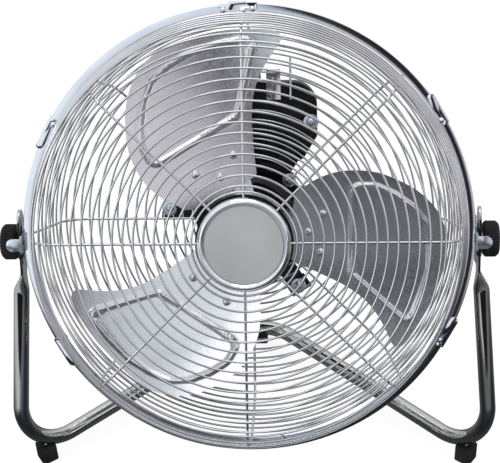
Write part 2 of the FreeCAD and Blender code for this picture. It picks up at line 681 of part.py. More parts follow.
arm_corners = [face_point(34.0, 40.0), face_point(34.0, -44.0), face_point(96.0, -25.0),
               face_point(99.0, -4.0), face_point(96.0, 18.0)]
spider_arm = slab(rounded_outline(arm_corners, 6.0), -80, 80)
spider_arm = spider_arm.common(blade_shell(BLADE_SHEET + FIT, BLADE_SHEET + FIT + ARM_SHEET))
spider_arm = drilled(spider_arm, rivet_bores)

SPIDER_Y = BLADE_Y + BLADE_SHEET
spider_disc = washer(42.0, 16.0, SPIDER_Y + 2.0, SPIDER_Y + 6.0)
spider = spider_disc.fuse([spun(spider_arm, axis) for axis in BLADE_AXES])
blade_nodes = []
all_rivets = []
for index, axis in enumerate(BLADE_AXES, start=1):
    keep_head(f"blade_{index}", [spun(blade, axis)])
    all_rivets += [spun(rivet, axis) for rivet in rivets]
keep_head("blade_rivets", all_rivets)
keep_head("blade_spider", [spider])

HUB_BACK_Y = 44.0
hub_profile = [(SHAFT_R + FIT, SPIDER_Y - 6), (15.0, SPIDER_Y - 6), (16.0 - FIT, SPIDER_Y - 4),
               (16.0 - FIT, SPIDER_Y + 8), (15.0, HUB_BACK_Y), (SHAFT_R + FIT, HUB_BACK_Y)]
set_screw_y = 32.0
grub = rod(2.5, Vector(SHAFT_R + 2 * FIT, set_screw_y, 0), Vector(17.5, set_screw_y, 0))
grub_hole = rod(2.5 + FIT, Vector(2, set_screw_y, 0), Vector(20, set_screw_y, 0))
keep_head("blade_hub", [turned(hub_profile).cut(grub_hole)])
keep_head("hub_set_screw", [grub])

# ---- motor --------------------------------------------------------------
BELL_FRONT_Y = 62.0
STATOR_FRONT_Y = 86.0
STATOR_REAR_Y = 114.0
BELL_REAR_Y = 148.0
STATOR_BORE_R = 26.0
SEAT_R = 15.0
SEAT_DEPTH = 9.0
MOUNT_Y = REAR_FLAT + RING_WIRE_R + 0.3
MOUNT_T = 2.5
FLANGE_Y = MOUNT_Y + MOUNT_T + FIT
motor_screw_places = [polar(MOTOR_SCREW_R, 45 + 90 * index) for index in range(4)]
bolt_places = [polar(46.5, 90 * index) for index in range(4)]
bolt_holes = [disc(2.0 + FIT, 50, 160, x, z) for x, z in bolt_places]


BELL_WALL = 2.5


def bell(end_y, mouth_y, rim_r):
    """One end casing: a cup with a bearing seat in its floor."""
    inward = 1 if mouth_y > end_y else -1
    floor = end_y + inward * 3.0
    seat_end = end_y + inward * (SEAT_DEPTH + 2.5)
    rounding = end_y + inward * 6.0
    profile = [(SHAFT_R + 1.5, end_y), (rim_r - 6.0, end_y), (rim_r, rounding), (rim_r, mouth_y),
               (rim_r - BELL_WALL, mouth_y), (rim_r - BELL_WALL, rounding + inward * 1.0),
               (rim_r - 7.5, floor), (SEAT_R + 4.0, floor),
               (SEAT_R + 4.0, seat_end), (SEAT_R + FIT, seat_end),
               (SEAT_R + FIT, end_y + inward * 2.5), (SHAFT_R + 1.5, end_y + inward * 2.5)]
    return turned(profile)


def vent_slots(y0, y1):
    slots = []
    for index in range(12):
        slot = block(26, 42, y0, y1, -2.2, 2.2)
        slots.append(spun(slot, 15 + 30 * index))
    return slots


bolt_pillars = [disc(5.0, BELL_FRONT_Y + 3.5, STATOR_FRONT_Y - FIT, x, z) for x, z in bolt_places]
front_bell = joined([bell(BELL_FRONT_Y, FLANGE_Y - FIT, MOTOR_R)] + bolt_pillars)
front_bell = drilled(front_bell, vent_slots(BELL_FRONT_Y - 1, BELL_FRONT_Y + 5) + bolt_holes)
keep_head("motor_front_bell", [front_bell])

rear_pillars = [disc(5.0, STATOR_REAR_Y + FIT, BELL_REAR_Y - 3.5, x, z) for x, z in bolt_places]
ears = [disc(8.0, FLANGE_Y, FLANGE_Y + 4, x, z) for x, z in motor_screw_places]
flange = joined([disc(MOTOR_R + 4, FLANGE_Y, FLANGE_Y + 4)] + ears).cut(disc(MOTOR_R - 1, 90, 120))
rear_bell = joined([bell(BELL_REAR_Y, FLANGE_Y, MOTOR_R), flange] + rear_pillars)
motor_screw_holes = [disc(2.5 + FIT, 80, 130, x, z) for x, z in motor_screw_places]
rear_bell = drilled(rear_bell, vent_slots(BELL_REAR_Y - 5, BELL_REAR_Y + 1) + bolt_holes + motor_screw_holes)
keep_head("motor_rear_bell", [rear_bell])

stator = washer(MOTOR_R - BELL_WALL - FIT, STATOR_BORE_R, STATOR_FRONT_Y, STATOR_REAR_Y)
keep_head("stator_core", [drilled(stator, bolt_holes)])
front_winding = washer(39.5, STATOR_BORE_R + 2, STATOR_FRONT_Y - 9, STATOR_FRONT_Y - FIT)
rear_winding = washer(39.5, STATOR_BORE_R + 2, STATOR_REAR_Y + FIT, STATOR_REAR_Y + 9)
keep_head("stator_windings", [front_winding, rear_winding])
bearing_places = (BELL_FRONT_Y + 2.5 + FIT, BELL_REAR_Y - 2.5 - SEAT_DEPTH - FIT)
keep_head("motor_bearings", [washer(SEAT_R, SHAFT_R + RUN, y, y + SEAT_DEPTH) for y in bearing_places])
bolts = []
for x, z in bolt_places:
    head = hexagon(7.0, BELL_FRONT_Y - 3.0, BELL_FRONT_Y - FIT, x, z)
    bolts.append(head.fuse(disc(2.0, BELL_FRONT_Y - 1, BELL_REAR_Y + 4, x, z)).removeSplitter())
keep_head("motor_through_bolts", bolts)

front_shaft_y = 4.0
shaft = disc(SHAFT_R, front_shaft_y, BELL_REAR_Y - 3.0)
keep_head("rotor_shaft", [shaft])
keep_head("rotor_core", [washer(STATOR_BORE_R - 0.5, SHAFT_R + FIT, STATOR_FRONT_Y - 3, STATOR_REAR_Y + 3)])

# three-armed bracket between the rear grille and the motor
arm_pieces = [disc(MOTOR_R + 14.0, MOUNT_Y, MOUNT_Y + MOUNT_T)]
for angle in ARM_ANGLES:
    arm = block(MOTOR_R, ARM_PAD_R + 5.0, MOUNT_Y, MOUNT_Y + MOUNT_T, -11.0, 11.0)
    pad = block(ARM_PAD_R - 9.0, ARM_PAD_R + 9.0, MOUNT_Y, MOUNT_Y + MOUNT_T, -13.0, 13.0)
    arm_pieces.append(spun(arm.fuse(pad), angle))
arm_screw_places = [polar(ARM_PAD_R, angle) for angle in ARM_ANGLES[1:]]   # the box covers the upper arm
mount = joined(arm_pieces).cut(disc(MOTOR_R + 0.3, 80, 120))
arm_screw_holes = [disc(2.5 + FIT, 80, 130, x, z) for x, z in arm_screw_places]
keep_head("motor_mount", [drilled(mount, motor_screw_holes + arm_screw_holes)])

# ---- control box --------------------------------------------------------
BOX_FRONT_Y = MOUNT_Y + MOUNT_T + 0.3
BOX_REAR_Y = 148.0
BOX_WALL = 2.2
BOX_TOP = 158.0
BOX_HALF = 77.0
box_screw_places = [(side * 70.0, 112.0) for side in (-1, 1)]


def box_outline(inset):
    """The box seen from the front: round upper corners, a tapering lower edge."""
    half = BOX_HALF - inset
    top = BOX_TOP - inset
    corner = 29.0 - inset
    reach = corner * math.sin(math.radians(45))
    low = 61.0 + inset
    points = [Vector(half, 0, 95), Vector(61.0 - inset, 0, 69.0 + inset), Vector(46.0 - inset, 0, low),
              Vector(-46.0 + inset, 0, low), Vector(-61.0 + inset, 0, 69.0 + inset), Vector(-half, 0, 95)]
    right_mid = Vector(half - corner + reach, 0, top - corner + reach)
    left_mid = Vector(-right_mid.x, 0, right_mid.z)
    edges = [Part.LineSegment(a, b).toShape() for a, b in zip(points, points[1:])]
    edges.append(Part.LineSegment(points[-1], Vector(-half, 0, top - corner)).toShape())
    edges.append(Part.Arc(Vector(-half, 0, top - corner), left_mid, Vector(-half + corner, 0, top)).toShape())
    edges.append(Part.LineSegment(Vector(-half + corner, 0, top), Vector(half - corner, 0, top)).toShape())
    edges.append(Part.Arc(Vector(half - corner, 0, top), right_mid, Vector(half, 0, top - corner)).toShape())
    edges.append(Part.LineSegment(Vector(half, 0, top - corner), points[0]).toShape())
    return Part.Face(Part.Wire(edges))


lid_screw_places = [(62.0, 138.0), (-62.0, 138.0), (58.0, 76.0), (-58.0, 76.0)]
SWITCH_Y = 125.0
box_shell = slab(box_outline(0.0), BOX_FRONT_Y, BOX_REAR_Y - BOX_WALL)
box_inside = slab(box_outline(BOX_WALL), BOX_FRONT_Y + BOX_WALL, BOX_REAR_Y)
bosses = [disc(4.5, BOX_FRONT_Y + 1, BOX_REAR_Y - BOX_WALL - FIT, x, z) for x, z in lid_screw_places]
box_shell = joined([box_shell.cut(box_inside)] + bosses).common(slab(box_outline(0.0), 90, 160))
duct = block(-17, 17, FLANGE_Y + 4.5, 140, MOTOR_R - 5, 61.5).cut(disc(MOTOR_R + FIT, 90, 160))
box_shell = joined([box_shell, duct])
lead_hole = rod(4.0, Vector(0, 122, 50), Vector(0, 122, 70))
bush_hole = rod(4.5 + FIT, Vector(0, SWITCH_Y, 140), Vector(0, SWITCH_Y, 170))
box_screw_holes = [disc(2.5 + FIT, 80, 130, x, z) for x, z in box_screw_places]
lid_pilots = [disc(1.5 + FIT, BOX_FRONT_Y + 12, 170, x, z) for x, z in lid_screw_places]
box_shell = drilled(box_shell, [lead_hole, bush_hole] + box_screw_holes + arm_screw_holes + lid_pilots)
keep_head("control_box", [box_shell])

gland_x, gland_z = 34.0, 84.0
lid = slab(box_outline(0.0), BOX_REAR_Y - BOX_WALL + FIT, BOX_REAR_Y)
gland_hole = disc(6.0 + FIT, 140, 160, gland_x, gland_z)
keep_head("control_box_lid", [drilled(lid, lid_pilots + [gland_hole])])
lid_screws = []
for x, z in lid_screw_places:
    head = disc(3.0, BOX_REAR_Y + FIT, BOX_REAR_Y + 2.2, x, z)
    lid_screws.append(head.fuse(disc(1.5, BOX_FRONT_Y + 14, BOX_REAR_Y + 1, x, z)).removeSplitter())
keep_head("lid_screws", lid_screws)

gland_profile = [(3.6, BOX_REAR_Y - 8), (6.0, BOX_REAR_Y - 8), (6.0, BOX_REAR_Y + FIT),
                 (9.0, BOX_REAR_Y + FIT), (9.0, BOX_REAR_Y + 3.0),
                 (7.0, BOX_REAR_Y + 4.0), (5.4, BOX_REAR_Y + 14.0),
                 (3.6, BOX_REAR_Y + 14.0)]
gland = turned(gland_profile)
gland.translate(Vector(gland_x, 0, gland_z))
keep_head("cord_gland", [gland])

bush_top = BOX_TOP + 5.0
switch_body = block(-14, 14, SWITCH_Y - 12, SWITCH_Y + 12, 128.0, BOX_TOP - BOX_WALL - FIT)
bush = rod(4.5, Vector(0, SWITCH_Y, 150), Vector(0, SWITCH_Y, bush_top))
spindle_bore = rod(3.0 + RUN, Vector(0, SWITCH_Y, 138), Vector(0, SWITCH_Y, bush_top + 2))
keep_head("speed_switch", [switch_body.fuse(bush).cut(spindle_bore)])

KNOB_SPEED_R = 11.0
speed_low = BOX_TOP + 0.5
speed_grip = rod(KNOB_SPEED_R, Vector(0, SWITCH_Y, speed_low), Vector(0, SWITCH_Y, BOX_TOP + 13.5))
speed_top = [edge for edge in speed_grip.Edges if edge.BoundBox.ZMin > BOX_TOP + 13.4]
speed_grip = speed_grip.makeFillet(1.2, speed_top)
speed_grip = speed_grip.cut(rod(7.0, Vector(0, SWITCH_Y, speed_low - 1), Vector(0, SWITCH_Y, bush_top + 1.0)))
for index in range(16):
    x, y = polar(KNOB_SPEED_R + 0.5, index * 22.5)
    groove = rod(1.2, Vector(x, SWITCH_Y + y, speed_low - 1), Vector(x, SWITCH_Y + y, BOX_TOP + 15))
    speed_grip = speed_grip.cut(groove)
pointer = block(-0.8, 0.8, SWITCH_Y + 3, SWITCH_Y + 10, BOX_TOP + 13.2, BOX_TOP + 14.3)
spindle = rod(3.0, Vector(0, SWITCH_Y, 139), Vector(0, SWITCH_Y, BOX_TOP + 12))
keep_head("speed_knob", [joined([speed_grip, pointer, spindle])])

capacitor = block(-52, -22, BOX_FRONT_Y + BOX_WALL + 0.5, BOX_FRONT_Y + 26, 92, 132)
keep_head("run_capacitor", [capacitor.makeFillet(2.0, capacitor.Edges)])
strap = block(-54.2, -19.8, BOX_FRONT_Y + BOX_WALL + FIT, BOX_FRONT_Y + 27.2, 108, 116)
strap = strap.cut(block(-52 - FIT, -22 + FIT, 90, BOX_FRONT_Y + 26 + FIT, 100, 120))
keep_head("capacitor_strap", [strap])

# leads run down the duct from the switch to the motor
lead_points = [Vector(4, SWITCH_Y, 127.9), Vector(4, SWITCH_Y, 108), Vector(0, 122, 90), Vector(0, 122, 53.2)]
keep_head("motor_lead", [swept(rounded_path(lead_points, [25.0, 25.0]), 2.2)])

# straps that hook the box over one of the rear grille's wires
hooks = []
hook_top = rear_radii[9] + 2.2
strap_y = BOX_FRONT_Y - FIT - 1.4
for side in (-1, 1):
    x0, x1 = sorted((side * 18.5, side * 35.0))
    back = block(x0, x1, strap_y, strap_y + 1.4, 138, hook_top)
    over = block(x0, x1, REAR_FLAT - 2.8, strap_y + 1.4, hook_top - 1.4, hook_top)
    lip = block(x0, x1, REAR_FLAT - 2.8, REAR_FLAT - 1.6, hook_top - 9.0, hook_top)
    hooks.append(joined([back, over, lip]))
keep_head("box_hooks", hooks)

# ---- zinc screws that clamp the motor and the box to the rear grille ----
WASHER_R = 9.0
PAN_R = 5.2
GRILLE_FACE_Y = REAR_FLAT - RING_WIRE_R - 0.05


def pan_screw(x, z, seat, length):
    head = dome_head(PAN_R, 3.4, seat, x, z)
    shank = disc(2.5, seat - 1.0, seat + length, x, z)
    cross = joined([block(x - 2.6, x + 2.6, seat - 4, seat - 1.8, z - 0.5, z + 0.5),
                    block(x - 0.5, x + 0.5, seat - 4, seat - 1.8, z - 2.6, z + 2.6)])
    return head.fuse(shank).removeSplitter().cut(cross)


washers = []
mount_screws = []
for x, z in arm_screw_places + box_screw_places:
    washers.append(washer(WASHER_R, 2.5 + FIT, GRILLE_FACE_Y - 1.2, GRILLE_FACE_Y, x, z))
    mount_screws.append(pan_screw(x, z, GRILLE_FACE_Y - 1.2 - FIT, 14.0))
for x, z in motor_screw_places:
    washers.append(washer(WASHER_R - 1.0, 2.5 + FIT, MOUNT_Y - 1.2 - FIT, MOUNT_Y - FIT, x, z))
    mount_screws.append(pan_screw(x, z, MOUNT_Y - 1.2 - 2 * FIT, 9.0))
keep_head("mount_washers", washers)
keep_head("mount_screws", mount_screws)

# ---- one file for each named piece --------------------------------------
for node, solids in parts.items():
    shape = solids[0] if len(solids) == 1 else Part.makeCompound(solids)
    shape.exportStep(f"parts/{node}.step")
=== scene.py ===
import math

import bmesh
import bpy
from mathutils import Matrix, Vector

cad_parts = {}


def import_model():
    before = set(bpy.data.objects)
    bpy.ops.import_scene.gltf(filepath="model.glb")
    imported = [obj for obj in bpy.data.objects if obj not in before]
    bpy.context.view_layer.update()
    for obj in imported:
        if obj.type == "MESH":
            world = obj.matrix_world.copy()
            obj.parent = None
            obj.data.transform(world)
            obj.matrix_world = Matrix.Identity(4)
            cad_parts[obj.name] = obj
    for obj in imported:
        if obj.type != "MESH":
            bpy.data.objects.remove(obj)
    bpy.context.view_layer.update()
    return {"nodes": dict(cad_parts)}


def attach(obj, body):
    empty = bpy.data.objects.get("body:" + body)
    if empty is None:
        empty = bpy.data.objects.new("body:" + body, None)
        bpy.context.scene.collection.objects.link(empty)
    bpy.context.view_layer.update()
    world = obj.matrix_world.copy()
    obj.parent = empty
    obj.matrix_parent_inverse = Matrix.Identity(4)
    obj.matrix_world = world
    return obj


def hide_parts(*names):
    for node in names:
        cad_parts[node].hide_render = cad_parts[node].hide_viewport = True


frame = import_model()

# Looks for a chrome high-velocity floor fan. Sizes are in millimetres, in the same
# frame as the CAD part, and are turned to metres when a mesh is made. Pieces of the
# tilting head are drawn upright about the guard's centre and then tilted by HEAD.

MM = 0.001
TILT = math.radians(30.0)
PIVOT = Vector((0.0, -22.1, 270.0))
PIVOT_DROP = 9.5
HEAD = (Matrix.Translation(PIVOT) @ Matrix.Rotation(-TILT, 4, "X")
        @ Matrix.Translation((0, 0, PIVOT_DROP)))
STAND = Matrix.Translation(PIVOT)

RING_R = 250.0
RING_FACE = 8.5
RING_HALF_DEPTH = 8.0
RING_WALL = 1.2
RING_WIRE_R = 1.2
RIB_WIRE_R = 1.5
RIB_COUNT = 8
FRONT_FLAT = 75.0
REAR_FLAT = 96.5
RING_PITCH = 11.15
SIDE_PITCH = 9.4
WELD_GAP = 0.02
SIDE_FOOT_R = 238.9
SIDE_FOOT_Y = 11.0
RIB_TAIL_Y = RING_HALF_DEPTH - RING_WALL - RIB_WIRE_R - 0.1
RIB_END_R = RING_R - RING_WALL - 0.7

# edges sharper than these stay sharp on the made pieces, or are rounded or split on the CAD nodes
SHARP_ANGLE = math.radians(38)
BEVEL_ANGLE = math.radians(40)
SPLIT_ANGLE = math.radians(35)
# the floor is drawn in metres, just under the feet
FLOOR_HALF = 6.0
FLOOR_Z = -0.0002


# ---- materials ----------------------------------------------------------
def new_material(name):
    material = bpy.data.materials.new(name)
    material.use_nodes = True
    tree = material.node_tree
    return material, tree, tree.nodes["Principled BSDF"]


def link(tree, source, target):
    tree.links.new(source, target)


def position(tree, scale=(1, 1, 1)):
    """The object's own coordinates, stretched for grain."""
    where = tree.nodes.new("ShaderNodeTexCoord")
    mapping = tree.nodes.new("ShaderNodeMapping")
    mapping.inputs["Scale"].default_value = scale
    link(tree, where.outputs["Object"], mapping.inputs["Vector"])
    return mapping.outputs["Vector"]


def noise(tree, vector, scale, detail=3.0):
    node = tree.nodes.new("ShaderNodeTexNoise")
    node.inputs["Scale"].default_value = scale
    node.inputs["Detail"].default_value = detail
    link(tree, vector, node.inputs["Vector"])
    return node.outputs["Fac"]


def span(tree, value, low, high, start=0.3, end=0.7):
    """Maps a noise value to a range of the wanted quantity."""
    node = tree.nodes.new("ShaderNodeMapRange")
    node.inputs["From Min"].default_value = start
    node.inputs["From Max"].default_value = end
    node.inputs["To Min"].default_value = low
    node.inputs["To Max"].default_value = high
    link(tree, value, node.inputs["Value"])
    return node.outputs["Result"]


def tones(tree, value, stops):
    """A colour that changes with a value through (place, colour) stops."""
    ramp = tree.nodes.new("ShaderNodeValToRGB")
    elements = ramp.color_ramp.elements
    while len(elements) < len(stops):
        elements.new(0.5)
    for element, (place, colour) in zip(elements, stops):
        element.position = place
        element.color = (*colour, 1)
    link(tree, value, ramp.inputs["Fac"])
    return ramp.outputs["Color"]


def tint(tree, value, low, high, start=0.3, end=0.7):
    return tones(tree, value, [(start, low), (end, high)])


def bump(tree, shader, height, strength, distance):
    node = tree.nodes.new("ShaderNodeBump")
    node.inputs["Strength"].default_value = strength
    node.inputs["Distance"].default_value = distance * MM
    link(tree, height, node.inputs["Height"])
    link(tree, node.outputs["Normal"], shader.inputs["Normal"])


def metal(name, dark, light, rough, grain, stretch=(1, 1, 1), depth=0.0, metallic=1.0):
    """Plated or bare metal: colour and polish vary a little, and the grain may be stretched."""
    material, tree, shader = new_material(name)
    shader.inputs["Metallic"].default_value = metallic
    cloud = noise(tree, position(tree), 22.0, 4.0)
    link(tree, tint(tree, cloud, dark, light), shader.inputs["Base Color"])
    fine = noise(tree, position(tree, stretch), grain, 5.0)
    link(tree, span(tree, fine, rough[0], rough[1]), shader.inputs["Roughness"])
    if depth:
        bump(tree, shader, fine, 0.35, depth)
    return material


def plastic(name, dark, light, rough, grain, depth, coat=0.0):
    """Moulded plastic, rubber or enamel with a fine textured surface."""
    material, tree, shader = new_material(name)
    cloud = noise(tree, position(tree), 35.0, 4.0)
    link(tree, tint(tree, cloud, dark, light), shader.inputs["Base Color"])
    fine = noise(tree, position(tree), grain, 4.0)
    link(tree, span(tree, fine, rough[0], rough[1]), shader.inputs["Roughness"])
    shader.inputs["Specular IOR Level"].default_value = 0.16
    shader.inputs["Coat Weight"].default_value = coat
    shader.inputs["Coat Roughness"].default_value = 0.12
    bump(tree, shader, fine, 0.4, depth)
    return material


MATERIALS = {
    "chrome_wire": metal("chrome_wire", (0.70, 0.71, 0.73), (0.82, 0.83, 0.84), (0.03, 0.08), 260.0),
    "chrome_band": metal("chrome_band", (0.74, 0.76, 0.80), (0.84, 0.86, 0.89), (0.05, 0.10), 300.0),
    "chrome_tube": metal("chrome_tube", (0.50, 0.51, 0.50), (0.60, 0.61, 0.60), (0.03, 0.07), 180.0),
    "blade_metal": metal("blade_metal", (0.74, 0.745, 0.76), (0.80, 0.805, 0.82), (0.20, 0.27), 240.0),
    "badge_metal": metal("badge_metal", (0.40, 0.405, 0.42), (0.49, 0.495, 0.51), (0.42, 0.55), 900.0,
                         (1.0, 1.0, 0.35), 0.02, 0.35),
    "zinc": metal("zinc", (0.60, 0.66, 0.72), (0.70, 0.76, 0.82), (0.20, 0.30), 500.0),
    "bare_steel": metal("bare_steel", (0.70, 0.70, 0.71), (0.82, 0.82, 0.83), (0.12, 0.22), 600.0,
                        depth=0.01),
    "core_steel": metal("core_steel", (0.22, 0.22, 0.24), (0.34, 0.34, 0.36), (0.35, 0.5), 900.0,
                        (0.05, 1.0, 0.05), depth=0.05),
    "copper": metal("copper", (0.55, 0.24, 0.10), (0.75, 0.38, 0.18), (0.25, 0.45), 900.0, depth=0.1),
    "black_plastic": plastic("black_plastic", (0.006, 0.006, 0.007), (0.016, 0.016, 0.017),
                             (0.30, 0.46), 900.0, 0.03),
    "rubber_foot": plastic("rubber_foot", (0.008, 0.008, 0.008), (0.020, 0.020, 0.020),
                           (0.48, 0.66), 700.0, 0.05),
    "black_paint": plastic("black_paint", (0.004, 0.004, 0.005), (0.010, 0.010, 0.012),
                           (0.26, 0.40), 600.0, 0.03, 0.2),
    "grey_film": plastic("grey_film", (0.50, 0.52, 0.54), (0.62, 0.64, 0.66), (0.25, 0.40), 500.0, 0.01),
}


# ---- mesh tools ---------------------------------------------------------
def piece(name, bm, place, body, slot, replaced):
    """Turns a bmesh in local millimetres into a finished piece that rides on a body."""
    bmesh.ops.remove_doubles(bm, verts=bm.verts, dist=1e-4)
    bmesh.ops.recalc_face_normals(bm, faces=bm.faces)
    mesh = bpy.data.meshes.new(name)
    bm.to_mesh(mesh)
    bm.free()
    mesh.transform(Matrix.Scale(MM, 4) @ place)
    mesh.polygons.foreach_set("use_smooth", [True] * len(mesh.polygons))
    mesh.set_sharp_from_angle(angle=SHARP_ANGLE)
    mesh.materials.append(MATERIALS[slot])
    obj = bpy.data.objects.new(name, mesh)
    bpy.context.scene.collection.objects.link(obj)
    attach(obj, body)
    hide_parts(*replaced)
    return obj


def grid_faces(bm, rows, closed_rows, closed_columns):
    """Quads between neighbouring rows of vertices."""
    count = len(rows)
    width = len(rows[0])
    for i in range(count if closed_rows else count - 1):
        row, after = rows[i], rows[(i + 1) % count]
        for j in range(width if closed_columns else width - 1):
            k = (j + 1) % width
            bm.faces.new((row[j], row[k], after[k], after[j]))


def lathe(bm, profile, segments=192, start=0.0, turn=2 * math.pi):
    """Turns a closed (radius, y) profile about the Y axis."""
    full = turn > 2 * math.pi - 1e-6
    steps = segments if full else segments + 1
    rows = []
    for i in range(steps):
        angle = start + turn * i / segments
        rows.append([bm.verts.new((r * math.cos(angle), y, r * math.sin(angle))) for r, y in profile])
    grid_faces(bm, rows, full, True)
    if not full:
        bm.faces.new(rows[0])
        bm.faces.new(reversed(rows[-1]))


def rounded_profile(points, radii, steps=4):
    """A closed (radius, y) outline with its corners rounded."""
    outline = []
    count = len(points)
    for i, (here, radius) in enumerate(zip(points, radii)):
        corner = Vector(here)
        back = (Vector(points[i - 1]) - corner).normalized()
        ahead = (Vector(points[(i + 1) % count]) - corner).normalized()
        if radius <= 0:
            outline.append(tuple(corner))
            continue
        half = back.angle(ahead) / 2
        centre = corner + (back + ahead).normalized() * (radius / math.sin(half))
        a = corner + back * (radius / math.tan(half)) - centre
        b = corner + ahead * (radius / math.tan(half)) - centre
        sweep = a.angle(b)
        for k in range(steps + 1):
            t = k / steps
            arm = (a * math.sin((1 - t) * sweep) + b * math.sin(t * sweep)) / math.sin(sweep)
            outline.append(tuple(centre + arm))
    return outline


def torus(bm, radius, wire, y, segments=180, sides=10):
    angles = [2 * math.pi * k / sides for k in range(sides)]
    lathe(bm, [(radius + wire * math.cos(angle), y + wire * math.sin(angle)) for angle in angles], segments)


def rounded_path(points, radii, step=2.0):
    """Points along straight runs with tangent arcs at the inner corners."""
    path = [points[0]]
    for corner, radius, before, after in zip(points[1:-1], radii, points, points[2:]):
        back = (before - corner).normalized()
        ahead = (after - corner).normalized()
        half = back.angle(ahead) / 2
        centre = corner + (back + ahead).normalized() * (radius / math.sin(half))
        a = corner + back * (radius / math.tan(half)) - centre
        b = corner + ahead * (radius / math.tan(half)) - centre
        sweep = a.angle(b)
        steps = max(4, int(radius * sweep / step))
        for k in range(steps + 1):
            t = k / steps
            path.append(centre + (a * math.sin((1 - t) * sweep) + b * math.sin(t * sweep)) / math.sin(sweep))
    path.append(points[-1])
    return path


def transport(path, first_side):
    """A side vector for each point of a path that turns with it and doesn't twist."""
    sides = []
    side = first_side
    for i, point in enumerate(path):
        ahead = path[min(i + 1, len(path) - 1)] - path[max(i - 1, 0)]
        ahead.normalize()
        side = (side - ahead * side.dot(ahead)).normalized()
        sides.append((side.copy(), ahead.cross(side)))
    return sides


def sweep(bm, path, radius, first_side, sides=10):
    """A round wire along a path, closed at both ends."""
    rows = []
    for point, (u, v) in zip(path, transport(path, first_side)):
        rows.append([bm.verts.new(point + (u * math.cos(2 * math.pi * k / sides)
                                           + v * math.sin(2 * math.pi * k / sides)) * radius)
                     for k in range(sides)])
    grid_faces(bm, rows, False, True)
    bm.faces.new(rows[0])
    bm.faces.new(reversed(rows[-1]))


def spun(point, degrees):
    """A point of the head turned about its axis, anticlockwise seen from the front."""
    return Matrix.Rotation(-math.radians(degrees), 3, "Y") @ point


# ---- grilles ------------------------------------------------------------
def guard_profile(flat, slope, corner_r, offset, inner_r, towards):
    """Half section of one side of the guard: flat face, corner and sloping side down to its foot."""
    lean = math.radians(slope)
    foot_r = SIDE_FOOT_R + offset * math.cos(lean)
    foot_y = SIDE_FOOT_Y + offset * math.sin(lean)
    corner = foot_r - (flat + offset - foot_y) * math.tan(lean)
    points = [Vector((inner_r, towards * (flat + offset), 0)), Vector((corner, towards * (flat + offset), 0)),
              Vector((foot_r, towards * foot_y, 0))]
    return points, corner_r + offset


def along(path, count):
    """Evenly spaced points on a path, without its two ends."""
    lengths = [0.0]
    for a, b in zip(path, path[1:]):
        lengths.append(lengths[-1] + (b - a).length)
    places = []
    for k in range(1, count - 1):
        wanted = lengths[-1] * k / (count - 1)
        i = max(j for j in range(len(path) - 1) if lengths[j] <= wanted)
        share = (wanted - lengths[i]) / max(lengths[i + 1] - lengths[i], 1e-9)
        places.append(path[i].lerp(path[i + 1], share))
    return places


def path_length(path):
    return sum((b - a).length for a, b in zip(path, path[1:]))


def grille(side, flat_face, slope, corner_r, flat_radii, rib_start, towards, extra=()):
    """Ring wires and ribs of one side of the guard."""
    rib_flat = flat_face - RIB_WIRE_R - RING_WIRE_R - WELD_GAP
    rings = bmesh.new()
    for radius in flat_radii:
        torus(rings, radius, RING_WIRE_R, towards * flat_face)
    offset = RIB_WIRE_R + RING_WIRE_R + WELD_GAP
    points, radius = guard_profile(rib_flat, slope, corner_r, offset, flat_radii[-1], towards)
    path = rounded_path(points, [radius])
    for place in along(path, round(path_length(path) / SIDE_PITCH) + 1):
        torus(rings, place.x, RING_WIRE_R, place.y)
    piece(f"{side}_ring_wires", rings, HEAD, "head", "chrome_wire", [f"{side}_grille_rings"])
    points, radius = guard_profile(rib_flat, slope, corner_r, 0.0, rib_start, towards)
    knee_r = SIDE_FOOT_R + (SIDE_FOOT_Y - RIB_TAIL_Y) * math.tan(math.radians(slope))
    points[2] = Vector((knee_r, towards * RIB_TAIL_Y, 0))
    points.append(Vector((RIB_END_R, towards * RIB_TAIL_Y, 0)))
    path = rounded_path(points, [radius, 2.5], 1.5)
    ribs = bmesh.new()
    for index in range(RIB_COUNT):
        turned = [spun(point, 360 / RIB_COUNT * index) for point in path]
        sweep(ribs, turned, RIB_WIRE_R, Vector((0, 0, 1)) if index % 4 == 0 else Vector((0, 1, 0.01)))
    for start, end in extra:
        sweep(ribs, [start, start.lerp(end, 0.5), end], RIB_WIRE_R, Vector((0, 1, 0)))
    piece(f"{side}_rib_wires", ribs, HEAD, "head", "chrome_wire", [f"{side}_grille_ribs"])


front_radii = [56.0, 62.4] + [73.5 + RING_PITCH * index for index in range(13)]
rear_radii = [71.0 + RING_PITCH * index for index in range(12)]
rear_rib_y = REAR_FLAT - RIB_WIRE_R - RING_WIRE_R - WELD_GAP
# two short wires on the rear face, outside the control box's hooks
short_wires = [(Vector((side * 46.6, rear_rib_y, 139)), Vector((side * 46.6, rear_rib_y, 188)))
               for side in (-1, 1)]
grille("front", FRONT_FLAT, 12.5, 25.0, front_radii, 47.0, -1)
grille("rear", REAR_FLAT, 13.5, 32.0, rear_radii, 68.5, 1, short_wires)

# ---- guard ring ---------------------------------------------------------
lip_r = RING_R - RING_FACE
wall_r = RING_R - RING_WALL
wall_y = RING_HALF_DEPTH - RING_WALL
channel = [(lip_r, -RING_HALF_DEPTH), (RING_R, -RING_HALF_DEPTH), (RING_R, RING_HALF_DEPTH),
           (lip_r, RING_HALF_DEPTH), (lip_r, wall_y), (wall_r, wall_y), (wall_r, -wall_y), (lip_r, -wall_y)]
CHANNEL_ROUNDS = [0.3, 0.7, 0.7, 0.3, 0.3, 0.6, 0.6, 0.3]
ring = bmesh.new()
JOINT_ANGLE = math.radians(91.5)
JOINT_GAP = 0.005
lathe(ring, rounded_profile(channel, CHANNEL_ROUNDS), 288,
      JOINT_ANGLE + JOINT_GAP / 2, 2 * math.pi - JOINT_GAP)
piece("guard_channel", ring, HEAD, "head", "chrome_band", ["guard_ring"])

